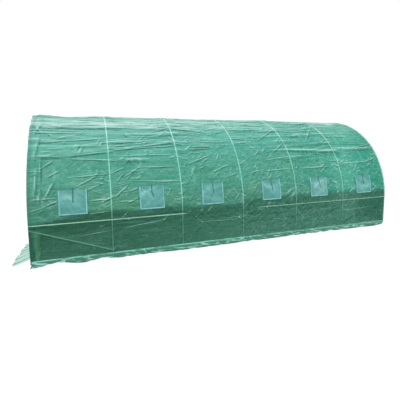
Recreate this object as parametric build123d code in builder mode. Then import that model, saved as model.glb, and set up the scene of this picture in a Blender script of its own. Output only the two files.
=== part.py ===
"""Garden polytunnel greenhouse: tube hoops on straight legs, joined by rails, under a sheet cover.

X runs along the tunnel, Z is up, and the origin is on the ground at the middle of the plan.
Left (-Y) and right (+Y) are as seen by someone who walks in at the front end (+X).
All lengths are in millimetres.
"""

import os
from math import cos, radians, sin, sqrt

from build123d import *

# Driving sizes of the tunnel
bay_count = 6
bay_length = 1000.0
frame_width = 3000.0  # over the outsides of the hoops
leg_height = 500.0  # straight part of a hoop, below the half circle

# Tubes of the frame
tube_diameter = 25.0
brace_diameter = 20.0
connector_diameter = 21.0  # arms of a hoop's cross connectors, slimmer than the tubes that they carry
connector_reach = 60.0  # from the hoop's axis to an arm's end
shoulder_angle = 42.0  # degrees above the springing of the arch
ground_rail_lift = 5.0  # clear height under a ground rail
brace_inset = 60.0  # from a rail's axis to where a brace meets the hoop

# Sheets of the cover
seat_gap = 0.3  # between a piece and what it rests on
film_thickness = 2.0
skirt_thickness = 2.0

# Windows in the side walls
window_width = 310.0
window_height = 280.0
window_lift = 125.0  # springing of the arch to the bottom of the cut-out
window_corner = 12.0
window_drift_shares = (0.02, 0.06, -0.01, 0.025, -0.02, -0.005)  # of a bay, as the slack film hangs
net_thickness = 1.0
flap_overlap = 20.0  # flap beyond the cut-out, all round
flap_thickness = 1.5
hook_tape_width = 18.0
hook_tape_thickness = 1.5
tie_width = 14.0
tie_length = 190.0
tie_rise = 25.0  # above the flap's top edge

# Doors in the ends
door_width = 900.0
door_crown_gap = 300.0  # top of the doorway to the outside of the ridge
zip_width = 36.0
zip_thickness = 2.0
roll_diameter = 110.0
roll_tie_width = 25.0
roll_tie_thickness = 2.0
roll_tie_inset = 200.0  # from the roll's end to the middle of its tie

# Ground flaps
side_skirt_reach = 150.0
side_skirt_rise = 30.0
side_skirt_foot = 100.0  # part that lies flat on the ground
side_skirt_corner = 150.0  # cut off at the front end
back_skirt_reach = 200.0
back_skirt_rise = 40.0
back_skirt_foot = 130.0
back_skirt_side_gap = 20.0  # from the corner of the tunnel and from the door's zip

# Places worked out from the sizes above
tube_radius = tube_diameter / 2
arch_radius = frame_width / 2 - tube_radius  # centre line of a hoop
half_length = bay_count * bay_length / 2
roll_depth = roll_diameter + 2 * roll_tie_thickness
mid_station = (back_skirt_reach - roll_depth) / 2  # keeps the origin at the middle of the plan
mid_plane = Plane.YZ.offset(mid_station)
hoop_stations = [mid_station + bay * bay_length - half_length for bay in range(bay_count + 1)]
window_stations = [
    station + bay_length * (1 / 2 + drift) for station, drift in zip(hoop_stations, window_drift_shares)
]
ground_rail_height = ground_rail_lift + tube_radius
shoulder_out = arch_radius * cos(radians(shoulder_angle))
shoulder_up = leg_height + arch_radius * sin(radians(shoulder_angle))
rail_places = {
    "left_ground_rail": (-arch_radius, ground_rail_height),
    "right_ground_rail": (arch_radius, ground_rail_height),
    "left_waist_rail": (-arch_radius, leg_height),
    "right_waist_rail": (arch_radius, leg_height),
    "left_shoulder_rail": (-shoulder_out, shoulder_up),
    "right_shoulder_rail": (shoulder_out, shoulder_up),
    "ridge_rail": (0, leg_height + arch_radius),
}
film_inner = frame_width / 2 + seat_gap
film_outer = film_inner + film_thickness
flap_inner = film_outer + seat_gap
flap_outer = flap_inner + flap_thickness
tape_outer = flap_outer + hook_tape_thickness
front_sheet_inner = hoop_stations[-1] + tube_radius + seat_gap
front_sheet_outer = front_sheet_inner + film_thickness
back_sheet_outer = hoop_stations[0] - tube_radius - seat_gap - film_thickness
window_middle = leg_height + window_lift + window_height / 2
flap_width = window_width + 2 * flap_overlap
flap_height = window_height + 2 * flap_overlap
door_height = leg_height + frame_width / 2 - door_crown_gap
post_out = door_width / 2 + tube_radius
header_height = door_height + tube_radius


def write(piece, name):
    """Labels a finished piece and writes it as a file of that name."""
    piece.label = name
    export_step(piece, f"parts/{name}.step")


def arch_face(radius):
    """Section of the tunnel at that half width: straight legs under a half circle."""
    with BuildSketch() as section:
        with BuildLine():
            Line((-radius, leg_height), (-radius, 0))
            Line((-radius, 0), (radius, 0))
            Line((radius, 0), (radius, leg_height))
            CenterArc((0, leg_height), radius, 0, 180)
        make_face()
    return section.sketch_local


def arch_band(inner_radius, outer_radius, start, length):
    """Arched shell between two half widths, along X from start."""
    with BuildPart() as band:
        with BuildSketch(Plane.YZ.offset(start)):
            add(arch_face(outer_radius))
            add(arch_face(inner_radius), mode=Mode.SUBTRACT)
        extrude(amount=length)
    return band.part


def make_hoop(arm_start, arm_end):
    """One hoop at X = 0, with the arms of its cross connectors from one X to another."""
    with BuildPart() as hoop:
        with BuildLine(Plane.YZ) as centre_line:
            Line((-arch_radius, 0), (-arch_radius, leg_height))
            CenterArc((0, leg_height), arch_radius, 180, -180)
            Line((arch_radius, leg_height), (arch_radius, 0))
        with BuildSketch(Plane((0, -arch_radius, 0))):
            Circle(tube_radius)
        sweep(path=centre_line.line)
        with BuildSketch(Plane.YZ.offset(arm_start)):
            with Locations(*rail_places.values()):
                Circle(connector_diameter / 2)
        extrude(amount=arm_end - arm_start)
    return hoop.part


def make_rail(place):
    """One line of rail tubes, a tube in each bay between the connectors' arms."""
    with BuildPart() as rail:
        for station in hoop_stations[:-1]:
            with BuildSketch(Plane.YZ.offset(station + connector_reach + seat_gap)):
                with Locations(place):
                    Circle(tube_radius)
            extrude(amount=bay_length - 2 * (connector_reach + seat_gap))
    return rail.part


def make_braces(side):
    """Diagonal braces of one side: end hoop's waist to the next hoop's foot, at both ends."""
    wall = side * arch_radius
    low = ground_rail_height + brace_inset
    high = leg_height - brace_inset
    last, inner = hoop_stations[-1], hoop_stations[-2]
    with BuildPart() as braces:
        run = Vector(last - inner, 0, high - low)
        with BuildSketch(Plane(origin=(inner, wall, low), z_dir=run)):
            Circle(brace_diameter / 2)
        extrude(amount=run.length)
        with BuildSketch(Plane.XY):
            with Locations((inner, wall), (last, wall)):
                Circle(tube_radius + seat_gap)
        extrude(amount=leg_height, mode=Mode.SUBTRACT)
        mirror(about=mid_plane)
    return braces.part


def make_end_frame():
    """Front end's tubes: two door posts, the header between them and the two sills."""
    post_top = leg_height + sqrt((arch_radius - tube_radius - seat_gap) ** 2 - post_out**2)
    sill_start = post_out + tube_radius + seat_gap
    sill_length = arch_radius - tube_radius - seat_gap - sill_start
    header_length = 2 * (post_out - tube_radius - seat_gap)
    station = hoop_stations[-1]
    with BuildPart() as end_frame:
        with BuildSketch(Plane.XY):
            with Locations((station, -post_out), (station, post_out)):
                Circle(tube_radius)
        extrude(amount=post_top + tube_diameter)
        with BuildSketch(Plane.YZ.offset(station - tube_diameter)):
            add(arch_face(arch_radius - tube_radius - seat_gap))
        extrude(amount=2 * tube_diameter, mode=Mode.INTERSECT)
        with BuildSketch(Plane.XZ.offset(-header_length / 2)):
            with Locations((station, header_height)):
                Circle(tube_radius)
        extrude(amount=header_length)
        for start in (sill_start, -sill_start - sill_length):
            with BuildSketch(Plane.XZ.offset(start)):
                with Locations((station, ground_rail_height)):
                    Circle(tube_radius)
            extrude(amount=sill_length)
    return end_frame.part


def make_cover_bay(bay):
    """Cover over one bay, with a window cut through each wall. End bays reach over the end sheets."""
    start, end = hoop_stations[bay], hoop_stations[bay + 1]
    if bay == 0:
        start = back_sheet_outer
    if bay == bay_count - 1:
        end = front_sheet_outer
    with BuildPart() as cover:
        add(arch_band(film_inner, film_outer, start, end - start))
        with BuildSketch(Plane.XZ):
            with Locations((window_stations[bay], window_middle)):
                RectangleRounded(window_width, window_height, window_corner)
        extrude(amount=frame_width, both=True, mode=Mode.SUBTRACT)
    return cover.part


def make_left_nets():
    """Insect nets that fill the left wall's window cut-outs."""
    with BuildPart() as nets:
        with BuildSketch(Plane.XZ):
            with Locations(*[(station, window_middle) for station in window_stations]):
                RectangleRounded(
                    window_width - 2 * seat_gap, window_height - 2 * seat_gap, window_corner
                )
        extrude(amount=frame_width)
        add(
            arch_band(film_inner, film_inner + net_thickness, hoop_stations[0], 2 * half_length),
            mode=Mode.INTERSECT,
        )
    return nets.part


def wall_patch(outline, inner_radius, outer_radius):
    """Patch of the left wall under an outline drawn on XZ, between two half widths."""
    with BuildPart() as patch:
        with BuildSketch(Plane.XZ):
            add(outline)
        extrude(amount=frame_width)
        add(
            arch_band(inner_radius, outer_radius, -bay_length / 2, bay_length),
            mode=Mode.INTERSECT,
        )
    return patch.part


def make_left_flap():
    """Roll-up window flap at X = 0, with hook tape down its sides and along its foot, and its hanging tie."""
    with BuildSketch() as flap_outline:
        with Locations((0, window_middle)):
            RectangleRounded(flap_width, flap_height, window_corner)
    with BuildSketch() as tape_outline:
        with Locations((0, window_middle)):
            RectangleRounded(flap_width, flap_height, window_corner)
        with Locations((0, window_middle + flap_height / 2)):
            Rectangle(
                flap_width - 2 * hook_tape_width,
                flap_height - hook_tape_width,
                align=(Align.CENTER, Align.MAX),
                mode=Mode.SUBTRACT,
            )
        with Locations((0, window_middle + flap_height / 2 + tie_rise)):
            Rectangle(tie_width, tie_length, align=(Align.CENTER, Align.MAX))
    with BuildPart() as flap:
        add(wall_patch(flap_outline.sketch_local, flap_inner, flap_outer))
        add(wall_patch(tape_outline.sketch_local, flap_outer, tape_outer))
    return flap.part


def make_end_sheet():
    """Front end's sheet, with the doorway cut through it."""
    with BuildPart() as sheet:
        with BuildSketch(Plane.YZ.offset(front_sheet_inner)):
            add(arch_face(film_inner - seat_gap))
            Rectangle(
                door_width, door_height, align=(Align.CENTER, Align.MIN), mode=Mode.SUBTRACT
            )
        extrude(amount=film_thickness)
    return sheet.part


def make_closed_door():
    """Door sheet zipped shut in the back end's doorway, with its two zips."""
    with BuildPart() as door:
        with BuildSketch(Plane.YZ.offset(back_sheet_outer)):
            Rectangle(
                door_width - 2 * seat_gap,
                door_height - seat_gap,
                align=(Align.CENTER, Align.MIN),
            )
        extrude(amount=film_thickness)
        with BuildSketch(Plane.YZ.offset(back_sheet_outer - zip_thickness)):
            with Locations((-door_width / 2, 0), (door_width / 2, 0)):
                Rectangle(zip_width, door_height, align=(Align.CENTER, Align.MIN))
        extrude(amount=zip_thickness)
    return door.part


def make_rolled_door():
    """Door sheet rolled up and tied over the front end's doorway."""
    roll_axis = Plane(
        origin=(front_sheet_outer + seat_gap + roll_depth / 2, 0, door_height),
        x_dir=(1, 0, 0),
        z_dir=(0, -1, 0),
    )
    tie_place = door_width / 2 - roll_tie_inset
    with BuildPart() as roll:
        with BuildSketch(roll_axis):
            Circle(roll_diameter / 2)
        extrude(amount=door_width / 2, both=True)
        for place in (-tie_place, tie_place):
            with BuildSketch(roll_axis.offset(place)):
                Circle(roll_diameter / 2 + roll_tie_thickness)
            extrude(amount=roll_tie_width / 2, both=True)
    return roll.part


def skirt_profile(reach, rise, foot):
    """Section of a ground flap, from the wall at x = 0 down to the part that lies flat."""
    with BuildSketch() as section:
        with BuildLine():
            Polyline(
                (0, rise),
                (reach - foot, 0),
                (reach, 0),
                (reach, skirt_thickness),
                (reach - foot, skirt_thickness),
                (0, rise + skirt_thickness),
                close=True,
            )
        make_face()
    return section.sketch_local


def make_right_skirt():
    """Right wall's ground flap, along the whole tunnel, its front corner cut off."""
    foot = film_outer + seat_gap
    back, front = hoop_stations[0], hoop_stations[-1]
    wall_side = Plane(origin=(back, foot, 0), x_dir=(0, 1, 0), z_dir=(1, 0, 0))
    with BuildPart() as skirt:
        with BuildSketch(wall_side):
            add(skirt_profile(side_skirt_reach, side_skirt_rise, side_skirt_foot))
        extrude(amount=2 * half_length)
        with BuildSketch(Plane.XY):
            with BuildLine():
                Polyline(
                    (front, foot),
                    (front, foot + side_skirt_reach),
                    (front - side_skirt_corner, foot + side_skirt_reach),
                    close=True,
                )
            make_face()
        extrude(amount=leg_height, mode=Mode.SUBTRACT)
    return skirt.part


def make_back_skirts():
    """Back end's ground flaps, one each side of the door."""
    start = door_width / 2 + zip_width / 2 + back_skirt_side_gap
    length = film_inner - back_skirt_side_gap - start
    end_side = Plane(
        origin=(back_sheet_outer - seat_gap, start, 0), x_dir=(-1, 0, 0), z_dir=(0, 1, 0)
    )
    with BuildPart() as skirt:
        with BuildSketch(end_side):
            add(skirt_profile(back_skirt_reach, back_skirt_rise, back_skirt_foot))
        extrude(amount=length)
        mirror(about=Plane.XZ)
    return skirt.part


def place(piece, along=0):
    """A copy of a piece, moved along X."""
    with BuildPart() as placed:
        with Locations((along, 0, 0)):
            add(piece)
    return placed.part


def mirrored(piece, about):
    """A mirror image of a piece."""
    with BuildPart() as image:
        mirror(piece, about=about)
    return image.part


os.makedirs("parts", exist_ok=True)

# Frame
back_hoop = make_hoop(0, connector_reach)
middle_hoop = make_hoop(-connector_reach, connector_reach)
front_hoop = make_hoop(-connector_reach, 0)
write(place(back_hoop, hoop_stations[0]), "hoop_1")
for number, station in enumerate(hoop_stations[1:-1], start=2):
    write(place(middle_hoop, station), f"hoop_{number}")
write(place(front_hoop, hoop_stations[-1]), f"hoop_{bay_count + 1}")
for rail_name, rail_place in rail_places.items():
    write(make_rail(rail_place), rail_name)
write(make_braces(-1), "left_braces")
write(make_braces(1), "right_braces")
front_end_frame = make_end_frame()
write(front_end_frame, "front_door_frame")
write(mirrored(front_end_frame, mid_plane), "back_door_frame")

# Cover
for bay_number in range(bay_count):
    write(make_cover_bay(bay_number), f"cover_bay_{bay_number + 1}")
front_end_sheet = make_end_sheet()
write(front_end_sheet, "front_end_sheet")
write(mirrored(front_end_sheet, mid_plane), "back_end_sheet")

# Windows
left_nets = make_left_nets()
write(left_nets, "left_window_nets")
write(mirrored(left_nets, Plane.XZ), "right_window_nets")
left_flap = make_left_flap()
right_flap = mirrored(left_flap, Plane.XZ)
for number, station in enumerate(window_stations, start=1):
    write(place(left_flap, station), f"left_window_flap_{number}")
    write(place(right_flap, station), f"right_window_flap_{number}")

# Doors
write(make_rolled_door(), "front_door_roll")
write(make_closed_door(), "back_door")

# Ground flaps
right_skirt = make_right_skirt()
write(right_skirt, "right_skirt")
write(mirrored(right_skirt, Plane.XZ), "left_skirt")
write(make_back_skirts(), "back_skirts")
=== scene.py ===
from functools import reduce
from math import asin, cos, pi, radians, sin

import bpy
import numpy as np
from mathutils import Euler, Matrix, Vector


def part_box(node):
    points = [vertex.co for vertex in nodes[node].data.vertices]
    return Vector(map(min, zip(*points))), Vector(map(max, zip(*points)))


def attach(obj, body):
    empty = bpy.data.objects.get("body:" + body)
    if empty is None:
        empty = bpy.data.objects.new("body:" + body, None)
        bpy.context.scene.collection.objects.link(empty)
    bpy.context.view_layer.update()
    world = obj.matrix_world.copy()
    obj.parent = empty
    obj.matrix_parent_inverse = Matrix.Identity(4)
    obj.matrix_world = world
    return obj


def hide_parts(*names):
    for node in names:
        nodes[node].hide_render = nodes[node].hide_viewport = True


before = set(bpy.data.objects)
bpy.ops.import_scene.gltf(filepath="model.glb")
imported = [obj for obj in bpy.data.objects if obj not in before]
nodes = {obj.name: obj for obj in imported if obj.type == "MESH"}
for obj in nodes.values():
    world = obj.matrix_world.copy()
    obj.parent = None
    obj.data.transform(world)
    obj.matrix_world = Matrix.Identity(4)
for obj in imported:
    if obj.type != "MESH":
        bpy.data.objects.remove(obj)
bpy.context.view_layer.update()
scene = bpy.context.scene

# Sizes of the frame, in metres
TUBE_R = 0.0125
BAYS = 6
BACK_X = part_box("hoop_1")[0].x + TUBE_R
FRONT_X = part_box("hoop_7")[1].x - TUBE_R
BAY = (FRONT_X - BACK_X) / BAYS
_, HALF_W, TOP_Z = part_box("hoop_4")[1]
LEG = TOP_Z - HALF_W
FILM_R = HALF_W + 0.0013
RAIL_R = HALF_W - TUBE_R
SHEET_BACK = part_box("back_end_sheet")[0].x
SHEET_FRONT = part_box("front_end_sheet")[1].x
SHEET_GAP = 0.001  # end films inside the faces of their CAD sheets
SHOULDER = radians(42)
FOOT_RAIL = 0.0175
SEAM_Z = 0.037  # weld of the ground flap to the wall
ARC = pi * FILM_R
SECTION = 2 * LEG + ARC
BRACE_INSET = 0.06
BRACE_TOP = LEG - BRACE_INSET
BRACE_SLOPE = (LEG - FOOT_RAIL - 2 * BRACE_INSET) / BAY
DOOR_W = 0.9
DOOR_H = 1.7
WINDOW_W = 0.31
WINDOW_LOW = LEG + 0.125
WINDOW_HIGH = WINDOW_LOW + 0.28
FLAP_LAP = 0.02
FLAP_W = WINDOW_W + 2 * FLAP_LAP
WINDOW_XS = [sum(corner.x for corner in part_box(f"left_window_flap_{bay}")) / 2 for bay in range(1, BAYS + 1)]
SIDES = ((-1, "left"), (1, "right"))


# Meshes
def placed(name, data):
    """A new object in the scene."""
    thing = bpy.data.objects.new(name, data)
    scene.collection.objects.link(thing)
    return thing


def new_piece(name, points, faces, uvs=None):
    """A smooth mesh object from arrays of points, faces and one UV for each point."""
    mesh = bpy.data.meshes.new(name)
    mesh.from_pydata([tuple(p) for p in points], [], [tuple(f) for f in faces])
    if uvs is not None:
        layer = mesh.uv_layers.new(name="UVMap")
        corner = np.zeros(len(mesh.loops), np.int32)
        mesh.loops.foreach_get("vertex_index", corner)
        layer.data.foreach_set("uv", np.asarray(uvs, np.float32)[corner].ravel())
    mesh.polygons.foreach_set("use_smooth", [True] * len(mesh.polygons))
    return placed(name, mesh)


def mark_crest(piece, values):
    """Tells the material which points lie on ridges (above 0) and in hollows (below 0); ridges are painted pale
    (partly whitening, partly painted highlight) and hollows with painted shade.
    """
    layer = piece.data.attributes.new("crest", "FLOAT", "POINT")
    layer.data.foreach_set("value", np.asarray(values, np.float32).ravel())


def stacked(*values):
    """One array of vectors from arrays and numbers that broadcast together."""
    return np.stack(np.broadcast_arrays(*values), -1)


def unit(values):
    """Values held between 0 and 1."""
    return np.clip(values, 0, 1)


def bell(values):
    """1 at 0, falling off to both sides."""
    return np.exp(-(values**2))


def grid_faces(across, along, keep=None, flip=False):
    """Quads of a grid of across x along points, without the cells where keep is False."""
    i, j = np.meshgrid(np.arange(across - 1), np.arange(along - 1), indexing="ij")
    first = i * along + j
    quads = stacked(first, first + along, first + along + 1, first + 1).reshape(-1, 4)
    quads = quads if keep is None else quads[keep.ravel()]
    return quads[:, ::-1] if flip else quads


def grid_piece(name, points, uv, keep=None, flip=False, crest=None):
    """A sheet from a grid of points and one of UVs."""
    faces = grid_faces(*points.shape[:2], keep, flip)
    piece = new_piece(name, points.reshape(-1, 3), faces, uv.reshape(-1, 2))
    if crest is not None:
        mark_crest(piece, crest)
    return piece


def ring_faces(rings, count, closed=False):
    """Quads between rings of count points, and from the last ring to the first if closed."""
    faces = []
    for ring in range(rings if closed else rings - 1):
        here, there = ring * count, (ring + 1) % rings * count
        for k in range(count):
            after = (k + 1) % count
            faces.append((here + k, here + after, there + after, there + k))
    return faces


def joined(name, parts):
    """One object from several (points, faces, uvs) parts."""
    points, faces, uvs, start = [], [], [], 0
    for part_points, part_faces, part_uvs in parts:
        points.append(np.reshape(part_points, (-1, 3)))
        faces += [tuple(int(k) + start for k in f) for f in part_faces]
        uvs.append(np.reshape(part_uvs, (-1, 2)))
        start += len(points[-1])
    return new_piece(name, np.concatenate(points), faces, np.concatenate(uvs))


def dress(piece, material, slot, *replaced):
    """Gives a piece its material, lets it ride on the frame and stand for CAD nodes; slot is not used."""
    piece.data.materials.append(material)
    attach(piece, "root")
    if replaced:
        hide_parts(*replaced)
    return piece


# Node materials
class Tree:
    """Adds nodes to a node tree."""

    def __init__(self, tree):
        self.nodes, self.links = tree.nodes, tree.links

    def feed(self, socket, value):
        if isinstance(value, bpy.types.NodeSocket):
            self.links.new(value, socket)
        elif value is not None:
            socket.default_value = value

    def add(self, kind, values=(), **settings):
        """The outputs of a new node with these settings, its inputs fed in order or by name."""
        node = self.nodes.new("ShaderNode" + kind)
        for name, value in settings.items():
            setattr(node, name, value)
        for socket, value in values.items() if isinstance(values, dict) else enumerate(values):
            self.feed(node.inputs[socket], value)
        return node.outputs

    def math(self, operation, *values):
        return self.add("Math", values, operation=operation)[0]

    def times(self, *values):
        return reduce(lambda a, b: self.math("MULTIPLY", a, b), values)

    def plus(self, *values):
        return reduce(lambda a, b: self.math("ADD", a, b), values)

    def minus(self, a, b):
        return self.math("SUBTRACT", a, b)


RIDGED = "RIDGED_MULTIFRACTAL"


class Shade(Tree):
    """A node material round one Principled shader, with the colour painted so far."""

    def __init__(self, name, **values):
        self.material = bpy.data.materials.new(name)
        self.material.use_nodes = True
        super().__init__(self.material.node_tree)
        self.shader = self.nodes["Principled BSDF"]
        self.colour = None
        self.use(**values)

    def use(self, **values):
        """Feeds sockets of the shader, and the painted colour."""
        for socket, value in (("Base_Color", self.colour), *values.items()):
            self.feed(self.shader.inputs[socket.replace("_", " ")], value)
        return self.material

    def place(self, kind="Object"):
        return self.add("TexCoord")[kind]

    def axes(self, vector):
        return self.add("SeparateXYZ", (vector,))

    def value(self, name):
        """A number that the mesh carries for each point."""
        return self.add("Attribute", attribute_name=name)["Fac"]

    def slanted(self, flat, angle, along, across):
        """Flat places turned by an angle and stretched, for creases that run that way."""
        u, v, *_ = flat
        c, s = cos(angle), sin(angle)
        p = self.plus(self.times(u, c), self.times(v, s))
        q = self.minus(self.times(v, c), self.times(u, s))
        return self.add("CombineXYZ", (self.times(p, along), self.times(q, across)))[0]

    def step(self, value, low, high, to_low=0.0, to_high=1.0):
        ends = (value, low, high, to_low, to_high)
        return self.add("MapRange", ends, interpolation_type="SMOOTHSTEP")[0]

    def near(self, value, centre, inner, outer, strength=1.0):
        """Strength where a value is within inner of a centre, fading to none at outer."""
        off = self.math("ABSOLUTE", self.minus(value, centre))
        return self.step(off, inner, outer, strength, 0.0)

    def noise(self, vector, scale, detail=3.0, rough=0.5, kind="FBM"):
        values = {"Vector": vector, "Scale": scale, "Detail": detail, "Roughness": rough}
        return self.add("TexNoise", values, noise_type=kind)[0]

    def wave(self, vector, scale, direction):
        return self.add("TexWave", {"Vector": vector, "Scale": scale}, bands_direction=direction)["Fac"]

    def mix(self, factor, a, b):
        a, b = (tone if isinstance(tone, bpy.types.NodeSocket) else (*tone, 1.0) for tone in (a, b))
        return self.add("Mix", {0: factor, 6: a, 7: b}, data_type="RGBA")[2]

    def tones(self, texture, low, high, dark, light):
        """Starts the colour with two tones that follow a texture."""
        self.colour = self.mix(self.step(texture, low, high), dark, light)

    def paint(self, tone, *factors):
        """Lays a tone over the colour so far, as strong as the factors' product."""
        self.colour = self.mix(self.times(*factors), self.colour, tone)

    def bump(self, height, strength, distance, normal=None):
        values = {"Height": height, "Strength": strength, "Distance": distance, "Normal": normal}
        return self.add("Bump", values)[0]


# Film tones: the low, middle and high ones are laid by height as painted light from above, the hazy and top ones are
# painted sky reflection, the band one is painted shade, the hollow one is painted shade in hollows and under folds
# and also darkens the back edge, and the line one marks ridges, partly whitening of the film and partly painted
# highlight
FILM_LOW = (0.044, 0.246, 0.162)
FILM_MID = (0.054, 0.328, 0.232)
FILM_HIGH = (0.066, 0.432, 0.344)
FILM_SKY_SHEEN = (0.2, 0.52, 0.44)
FILM_DEEP = (0.016, 0.315, 0.215)
FILM_WARM = (0.07, 0.305, 0.16)
FILM_TOP_SHEEN = (0.66, 0.9, 0.85)
FILM_SHADE = (0.01, 0.074, 0.036)
FILM_CREST = (0.34, 0.68, 0.59)
FILM_LINE = (0.43, 0.78, 0.69)
FILM_HOLLOW = (0.026, 0.165, 0.115)
# Tube tones: tubes showing through the film, the brightest for the upper hoops as painted light from above
TUBE_GLOW = (0.36, 0.74, 0.6)
TUBE_MINT = (0.5, 0.9, 0.7)
HOOP_GLOW = (0.35, 0.85, 0.71)
HOOP_BRIGHT = (0.69, 0.99, 0.95)
FLAP_GREEN = (0.14, 0.38, 0.285)
FLAP_PALE = (0.33, 0.62, 0.53)
FILM_IOR = 1.48


def tube_lines(shade, at, run, bays, z):
    """Lines where the film lies on hoops, rails and the back bay's braces, its weld and its back edge; the hoop lines
    brighten to the top as painted light, and dark lines under the shoulder rail and the brace are painted shadows.
    """
    step, near, paint = shade.step, shade.near, shade.paint
    part = shade.math("MODULO", shade.plus(run, BAY / 2), BAY)
    worn = step(shade.noise(at, 6, 3), 0.3, 0.55, 0.6, 1)
    seen, inner = step(z, LEG - 0.05, LEG + 0.35, 0.26, 0.84), step(bays, 0.4, 0.6)
    glow = shade.mix(step(z, 1.2, 1.85), HOOP_GLOW, HOOP_BRIGHT)
    paint(glow, near(part, BAY / 2, 0.0045, 0.0105), seen, worn, inner)
    touching = shade.plus(step(bays, 2, 2.1, 0.8, 0.06), step(bays, 3.2, 3.4, 0, 0.52))
    paint(TUBE_MINT, near(z, LEG, 0.0035, 0.0095), touching)
    shoulder = LEG + FILM_R * sin(SHOULDER)
    paint(TUBE_GLOW, near(z, shoulder, 0.004, 0.011), step(bays, 1, 1.2, 0.6, 0))
    # Painted shadow under the fold over the shoulder rail
    paint(FILM_HOLLOW, near(z, shoulder - 0.01, 0.003, 0.01), step(bays, 1.8, 2.1, 0, 0.5))
    frayed = step(worn, 0.6, 1, 0.25, 1)
    paint(HOOP_GLOW, near(z, SEAM_Z, 0.003, 0.008, 0.8), frayed, step(bays, 3, 3.4, 1, 0.6))
    rise = shade.plus(z, shade.times(run, BRACE_SLOPE))
    back_bay = step(bays, 0.98, 1, 1, 0)
    paint(TUBE_GLOW, near(rise, BRACE_TOP, 0.004, 0.011, 0.42), back_bay)
    # Painted shadow under the brace
    paint(FILM_SHADE, near(rise, BRACE_TOP - 0.022, 0.005, 0.012, 0.55), back_bay)
    tuck = shade.math("DIVIDE", shade.minus(run, 0.066), shade.plus(z, 0.12))
    paint(FILM_WARM, near(tuck, 0, 0.03, 0.13, 0.55), step(z, LEG - 0.09, LEG - 0.04, 1, 0))
    paint(FILM_HOLLOW, step(run, 0.022, 0.034, 0.28, 0))


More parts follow.
